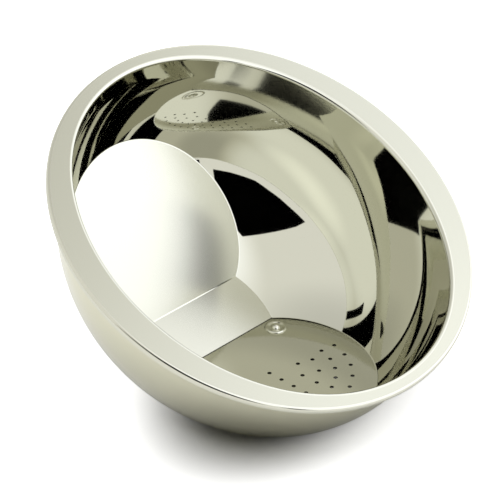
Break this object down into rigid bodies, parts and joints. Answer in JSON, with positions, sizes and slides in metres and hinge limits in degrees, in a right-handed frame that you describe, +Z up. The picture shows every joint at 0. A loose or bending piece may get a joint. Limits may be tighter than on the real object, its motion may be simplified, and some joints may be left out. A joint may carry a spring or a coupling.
{
  "type": "wash-and-drain bowl",
  "caption": "Round-brimmed steel bowl with two tilted flats to stand on, one solid for washing rice or produce and one perforated, on riveted feet, for draining.",
  "frame": {"origin": "on the surface that the drain feet stand on, under the middle of the object's box", "axes": "+Z up as it stands on its drain feet, +X the way the mouth leans, so XZ is the mirror plane and +Y runs along the brim's wide grips"},
  "size_m": [0.2224, 0.24, 0.158],
  "materials": {
    "shell_steel": "mirror polished inside, satin brushed on the brim and outside",
    "rivet_steel": "polished",
    "foot_rubber": "matt moulded rubber"
  },
  "bodies": {
    "root": {"bowl_shell": "shell_steel", "drain_foot_far": "foot_rubber", "foot_washer_far": "rivet_steel", "foot_rivet_far": "rivet_steel", "drain_foot_left": "foot_rubber", "foot_washer_left": "rivet_steel", "foot_rivet_left": "rivet_steel", "drain_foot_right": "foot_rubber", "foot_washer_right": "rivet_steel", "foot_rivet_right": "rivet_steel"}
  },
  "joints": []
}
